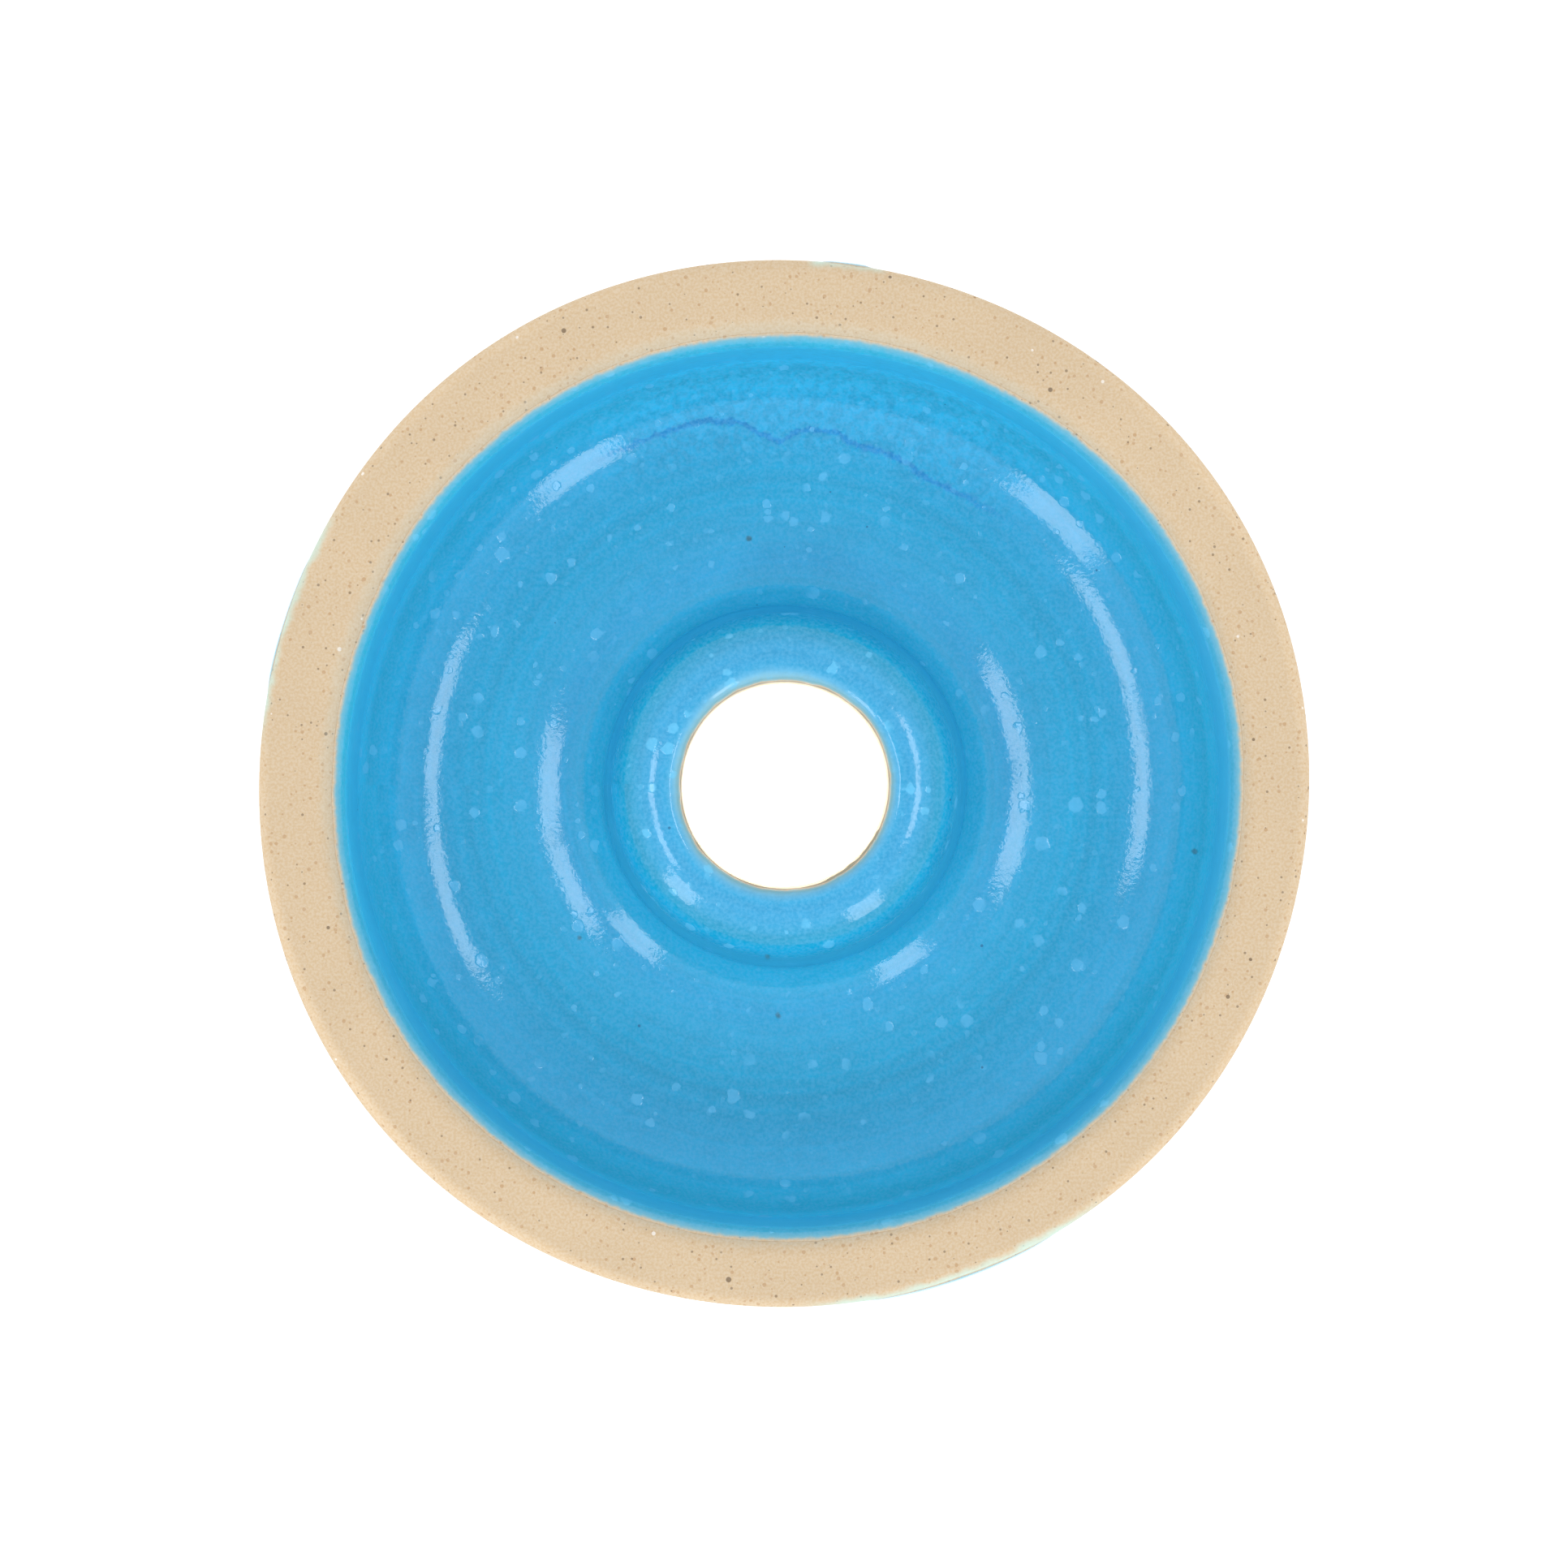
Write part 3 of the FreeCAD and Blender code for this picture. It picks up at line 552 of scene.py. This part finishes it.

# Colours of the glaze from the lip out to the rim, by distance from the axis in mm, with
# painted shade in the hollows and painted light on the slopes mixed into the glaze's own tint.
WELL_TINTS_AND_SHADE = (
    (8.2, dye(120, 176, 198)),
    (8.6, dye(80, 160, 200)),
    (9.0, dye(42, 149, 196)),
    (9.6, dye(42, 144, 192)),
    (10.4, dye(48, 149, 196)),
    (11.2, dye(44, 148, 192)),
    (12.0, dye(20, 144, 183)),
    (13.0, dye(12, 154, 200)),
    (13.7, dye(44, 174, 207)),
    (14.8, dye(42, 168, 208)),
    (15.6, dye(48, 169, 208)),
    (17.5, dye(38, 161, 204)),
    (19.5, dye(36, 162, 202)),
    (22.6, dye(8, 158, 197)),
    (24.2, dye(2, 154, 193)),
    (27.2, dye(26, 157, 198)),
    (29.6, dye(46, 169, 212)),
    (31.2, dye(48, 170, 210)),
    (33.2, dye(48, 170, 203)),
    (34.4, dye(72, 158, 190)),
)
SEAM = (  # angle in degrees and distance from the axis in mm of the seam in the glaze
    (36, 27.9), (52, 26.7), (64, 26.1), (72, 26.8), (78, 26.9), (82, 27.5), (86, 27.6), (89, 27.1),
    (90.5, 26.6), (94, 27.4), (97, 28.3), (103, 28.8), (112, 28.8),
)
SEAM_LOW, SEAM_HIGH = 26.0, 29.0
GLAZE_SPECKS = ((-2.7, 19.1), (-15.8, -11.8), (-1.2, -13.2), (-0.4, -17.8), (31.7, -5.1))
HAZE, BUBBLE, SPECK = dye(108, 184, 224), dye(104, 192, 232), dye(30, 90, 130)
SEAM_BLUE, IRON_UNDER_GLASS = dye(0, 130, 190), dye(52, 88, 92)


def grey(value):
    """A grey of this strength, as a shader takes it."""
    return (value, value, value, 1.0)


def seam_distance(finish):
    """How far outside the seam a place is, in mm."""
    first, last = SEAM[0][0], SEAM[-1][0]
    stops = [
        ((angle - first) / (last - first), grey((away - SEAM_LOW) / (SEAM_HIGH - SEAM_LOW)))
        for angle, away in SEAM
    ]
    along = finish.ramp((finish.angle - first) / (last - first), stops)
    waver = (finish.cloud(1.2) - 0.5) * 0.9 + (finish.cloud(0.35) - 0.5) * 0.5
    return finish.from_axis + waver - (along * (SEAM_HIGH - SEAM_LOW) + SEAM_LOW)


def near_specks(finish, places, size):
    """A mask of single specks at places on the pot, in mm."""
    mask = 0.0
    for x, y in places:
        away_x, away_y = finish.x - x, finish.y - y
        away = maths("SQRT", away_x * away_x + away_y * away_y) + (finish.cloud(0.4) - 0.5) * 0.25
        mask = (1 - finish.rise(away, size * 0.3, size)) + mask
    return mask


def swum(finish, size, reach):
    """The place moved about by noise, so that round marks come out uneven."""
    inputs = {"Vector": finish.place, "Scale": 1 / (size * MM)}
    drift = finish.node("ShaderNodeTexNoise", inputs=inputs, output="Color")
    vector_maths = "ShaderNodeVectorMath"
    middle = finish.node(vector_maths, {"operation": "SUBTRACT"}, {0: drift, 1: (0.5, 0.5, 0.5)})
    push = finish.shade(middle, reach * MM)
    return finish.node(vector_maths, {"operation": "ADD"}, {0: finish.place, 1: push})


def glaze_finish(name, body_colour, thin_colour, steep_relief):
    """Blue glass over clay: what the coats share. body_colour gives the colour where it is
    thick, and steep_relief is how much of its unevenness is left where it ran off a steep wall."""
    finish = Finish(name, {"Roughness": 0.07, "IOR": 1.41})
    depth = finish.node("ShaderNodeAttribute", {"attribute_name": "edge_depth"}, output="Fac")
    moved = swum(finish, 0.7, 0.55)
    bubbles = finish.flecks(1.5, 0.5, 0.85, moved) * finish.rise(finish.cloud(4.5), 0.38, 0.52)
    seeds = finish.flecks(1.0, 0.3, 0.4, moved)
    colour = body_colour(finish)
    mottle = finish.cloud(0.8, 2.0) * 0.16 + finish.cloud(3.0, 2.0) * 0.14
    colour = finish.shade(colour, mottle + 0.85)
    haze = finish.rise(finish.cloud(0.26, 3.0), 0.3, 0.7) * 0.26
    colour = finish.blend(haze, colour, HAZE)
    colour = finish.blend(bubbles * 0.5 + seeds * 0.22, colour, BUBBLE)
    colour = finish.blend(finish.flecks(3.0, 0.4, 0.2) * 0.7, colour, SPECK)
    ragged = depth + (finish.cloud(0.5, 2.0) - 0.5) * 0.3
    colour = finish.blend(finish.rise(ragged, 0.1, 0.8), thin_colour, colour)
    colour = finish.blend(finish.rise(ragged, 0.0, 0.4), clay_colour(finish), colour)
    finish.feed(Base_Color=colour)
    dull_edge = (1 - finish.rise(depth, 0.1, 0.7)) * 0.5
    runs = finish.steep() * (1 - steep_relief)
    finish.feed(Roughness=dull_edge + finish.cloud(0.7) * 0.03 + 0.05 + runs * 0.25)
    uneven = finish.cloud(0.3, 2.0) * 0.008 + finish.cloud(2.2) * 0.016
    finish.relief((uneven + bubbles * 0.015 + seeds * 0.006) * (1 - runs))
    return finish


def well_colour(finish):
    """Tints by distance from the axis, which carry painted shade and light, with the wheel's rings,
    the seam, curds, painted light on the steep walls and iron specks.
    """
    # the tints are the glaze's own colour and its pooling, with painted shade in the hollows and
    # painted light on the slopes
    stops = [(away / RIM_RADIUS, tint) for away, tint in WELL_TINTS_AND_SHADE]
    shifted = finish.from_axis + (finish.cloud(6.0) - 0.5) * 0.7
    colour = finish.ramp(shifted / RIM_RADIUS, stops)
    across = {"W": finish.from_axis * 1.1 + finish.angle * 0.003, "Scale": 1.0, "Detail": 3.0}
    rings = finish.node("ShaderNodeTexNoise", {"noise_dimensions": "1D"}, across)
    colour = finish.shade(colour, rings * 0.24 + 0.88)
    outside = seam_distance(finish)
    where = finish.between(finish.angle, 62, 108, 16)
    line = finish.between(outside, -0.06, 0.1, 0.24) * where
    colour = finish.blend(line * 0.85, colour, SEAM_BLUE)
    curds = finish.rise(finish.cloud(0.7, 2.0, swum(finish, 1.2, 0.9)), 0.38, 0.6)
    curdled = finish.between(finish.angle, 64, 104, 24)
    curdled *= finish.between(finish.from_axis, 27.0, 32.0, 2.5)
    colour = finish.shade(colour, 1 + curdled * (curds - 0.7) * 0.16)
    # painted light: the well's steep walls are made lighter, standing for the light they catch as
    # well as for thinner glaze there
    thin_glaze_and_light_on_walls = finish.steep() * finish.rise(finish.from_axis, 20, 26)
    colour = finish.shade(colour, 1 + thin_glaze_and_light_on_walls * 0.38)
    return finish.blend(near_specks(finish, GLAZE_SPECKS, 0.3) * 0.75, colour, IRON_UNDER_GLASS)


well_finish = glaze_finish("well glaze", well_colour, dye(114, 171, 187), 0.0)
well_glaze.data.materials.append(well_finish.material)
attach(well_glaze, "root")
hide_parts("well_glaze")

# ---------------------------------------------------------------- glaze on the outside
# The same glaze is poured round the outside with the pot upside down. It stops short of
# the wiped rim, and down the stem it ends in an uneven, slightly raised line, below which
# the stem is left bare so that the pot doesn't stick to the kiln's shelf.

OUTSIDE = follow_outside(Section(RIM_FLAT_END, RIM_LEVEL, 0), 0.4)
OUTSIDE.run(17.0, 0.5)
DRIP = 3.0  # room for the longest drip below the coat's nominal lower edge, in mm
SKIRT = OUTSIDE.measured()[-1] - DRIP
ROLL = 0.22  # extra thickness of the roll along the lower edge, in mm


def smear(angle):
    """1 where the outer glaze was smeared up over the rim's outer edge."""
    reach = 0.0
    for at, half in SMEARS:
        away = abs((angle - at + 180) % 360 - 180)
        reach = max(reach, 1 - smooth(away, half * 0.6, half * 1.5))
    return reach


def top_edge(angle):
    """Where the coat starts below the rim, in mm along the section."""
    return 2.6 - 1.5 * smear(angle) + wander(angle, 0.5, 4, 11.0) + wander(angle, 0.2, 16, 12.0)


def low_edge(angle):
    """Where the coat ends on the stem, in mm along the section."""
    drip = max(0.0, wander(angle, DRIP, 3.5, 21.0) - 0.4)
    return SKIRT + wander(angle, 1.6, 2, 17.0) + drip


def outside_thickness(from_top, from_low, angle):
    """The outer coat thins upwards to the rim and has a roll along its lower edge."""
    film = smooth(from_top, -0.3, 4.5 - 2.5 * smear(angle)) * smooth(from_low, -0.2, 0.6)
    roll = ROLL * math.exp(-(((from_low - 1.0) / 0.8) ** 2))
    return COAT * film + roll - sunk(min(from_top, from_low))


outside_coat = Coat(OUTSIDE, top_edge, low_edge, outside_thickness, rows=120, back_rows=24)
outer_glaze = outside_coat.piece("outer_glaze_coat", 480)

OUTSIDE_BOTTOM = 34  # level in mm at which the tints start
OUTSIDE_TINTS = (  # from there up to the rim
    (0.0, dye(58, 164, 213)),
    (0.3, dye(50, 160, 211)),
    (0.45, dye(64, 167, 216)),
    (0.8, dye(72, 170, 218)),
    (0.96, dye(84, 177, 218)),
)


def outside_colour(finish):
    """Sky blue, paler over the rounded rim and in faint runs down the pot, deeper in the cove."""
    upward = (finish.z - OUTSIDE_BOTTOM) / (RIM_LEVEL - OUTSIDE_BOTTOM)
    colour = finish.ramp(upward, OUTSIDE_TINTS)
    along = {"W": finish.z * 0.5 + finish.angle * 0.004, "Scale": 1.0, "Detail": 3.0}
    rings = finish.node("ShaderNodeTexNoise", {"noise_dimensions": "1D"}, along)
    squashed = {0: finish.place, 1: (1.0, 1.0, 0.12)}  # which draws the noise out down the pot
    tall = finish.node("ShaderNodeVectorMath", {"operation": "MULTIPLY"}, squashed)
    runs = finish.cloud(3.0, 2.0, tall)
    return finish.shade(colour, rings * 0.14 + runs * 0.16 + 0.85)


outside_finish = glaze_finish("outer glaze", outside_colour, dye(124, 176, 186), 1.0)
outer_glaze.data.materials.append(outside_finish.material)
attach(outer_glaze, "root")
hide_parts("outer_glaze")

# ---------------------------------------------------------------- floor, light and camera
# The pot stands on a white light table under a white sky. Long soft lights hang to the left
# and right and two tall ones in front. A round of lit glass in the table shows through the
# bore, and small weak lamps in the bore light its edge from inside.

RIM_MIDDLE = Vector((0, 0, RIM_LEVEL * MM))
DISC_CORNERS = 96


def white_disc(name, radius, level, glow):
    """A white disc, in metres, that glows a little."""
    mesh = bpy.data.meshes.new(name)
    around = [math.tau * part / DISC_CORNERS for part in range(DISC_CORNERS)]
    corners = [(radius * math.cos(a), radius * math.sin(a), level) for a in around]
    mesh.from_pydata(corners, [], [tuple(range(DISC_CORNERS))])
    disc = bpy.data.objects.new(name, mesh)
    bpy.context.collection.objects.link(disc)
    white = {"Base Color": grey(0.86), "Roughness": 0.6, "Emission Color": grey(1.0)}
    mesh.materials.append(Finish(name, white | {"Emission Strength": glow}).material)


def soft_light(name, azimuth, from_above, width, height, brightness):
    """An area light a metre from the pot, facing it. Angles in degrees, sizes in metres."""
    light = bpy.data.lights.new(name, "AREA")
    light.shape, light.size, light.size_y = "RECTANGLE", width, height
    light.energy = brightness * math.pi * width * height
    lamp = bpy.data.objects.new(name, light)
    bpy.context.collection.objects.link(lamp)
    turn, lean = math.radians(azimuth), math.radians(from_above)
    across = math.sin(lean)
    toward = Vector((math.cos(turn) * across, math.sin(turn) * across, math.cos(lean)))
    lamp.location = RIM_MIDDLE + toward
    lamp.rotation_euler = toward.to_track_quat("Z", "Y").to_euler()


white_disc("table", radius=2.5, level=0.0, glow=0.3)
white_disc("lamp glass", radius=0.0105, level=0.0004, glow=1.5)

BRIGHTNESS = 6.4
FRONT_BRIGHTNESS = BRIGHTNESS * 0.85
STRIP_HEIGHT, FRONT_HEIGHT = 0.148, 0.23
STRIPS = (  # two to a side, as the long lights are bent: azimuth, angle from above and width
    ("left light back", 177, 24.4, 0.177),
    ("left light front", 203, 24.8, 0.177),
    ("right light front", 350.25, 24.4, 0.195),
    ("right light back", 18.75, 24.8, 0.195),
)
for name, azimuth, from_above, width in STRIPS:
    soft_light(name, azimuth, from_above, width, STRIP_HEIGHT, BRIGHTNESS)
FRONT_SIDES = (("left", 225, 0.215), ("right", 303.5, 0.2))  # azimuth and width
for half, from_above, share in (("upper", 39.3, 0.86), ("lower", 52.4, 1.04)):
    for hand, azimuth, width in FRONT_SIDES:
        name = f"front {hand} {half} light"
        soft_light(name, azimuth, from_above, width * share, FRONT_HEIGHT, FRONT_BRIGHTNESS)

BORE_LAMP_LEVELS = (0.046, 0.054, 0.062, 0.07)
BORE_LAMP_RADIUS, BORE_LAMP_ENERGY = 0.002, 0.005
for level in BORE_LAMP_LEVELS:
    bore_light = bpy.data.lights.new("bore lamp", "POINT")
    bore_light.shadow_soft_size, bore_light.energy = BORE_LAMP_RADIUS, BORE_LAMP_ENERGY
    bore_lamp = bpy.data.objects.new("bore lamp", bore_light)
    bore_lamp.location = (0, 0, level)
    bpy.context.collection.objects.link(bore_lamp)

sky = bpy.data.worlds.new("sky")
sky.use_nodes = True
sky.node_tree.nodes["Background"].inputs["Color"].default_value = grey(1.0)
bpy.context.scene.world = sky

FRAME_WIDTH = 0.11893  # what the camera spans at the level of the rim, in metres
CAMERA_HEIGHT, SENSOR_WIDTH = 0.9, 36  # metres over the rim, millimetres
EYE_SHIFT = (0.0018, -0.0075)  # the camera hangs a little off the axis, in metres
AIM_SHIFT = (0.06, -0.04)  # and looks past the rim's middle by this, in mm
camera = bpy.data.cameras.new("camera")
camera.sensor_width = SENSOR_WIDTH
camera.lens = SENSOR_WIDTH * CAMERA_HEIGHT / FRAME_WIDTH
camera.clip_end = 10
eye = bpy.data.objects.new("camera", camera)
bpy.context.collection.objects.link(eye)
aim = RIM_MIDDLE + Vector((*AIM_SHIFT, 0)) * MM
eye.location = RIM_MIDDLE + Vector((*EYE_SHIFT, CAMERA_HEIGHT))
back = (eye.location - aim).normalized()
side = Vector((0, 1, 0)).cross(back).normalized()
eye.rotation_euler = Matrix((side, back.cross(side), back)).transposed().to_euler()
bpy.context.scene.camera = eye
bpy.context.scene.view_settings.view_transform = "Standard"
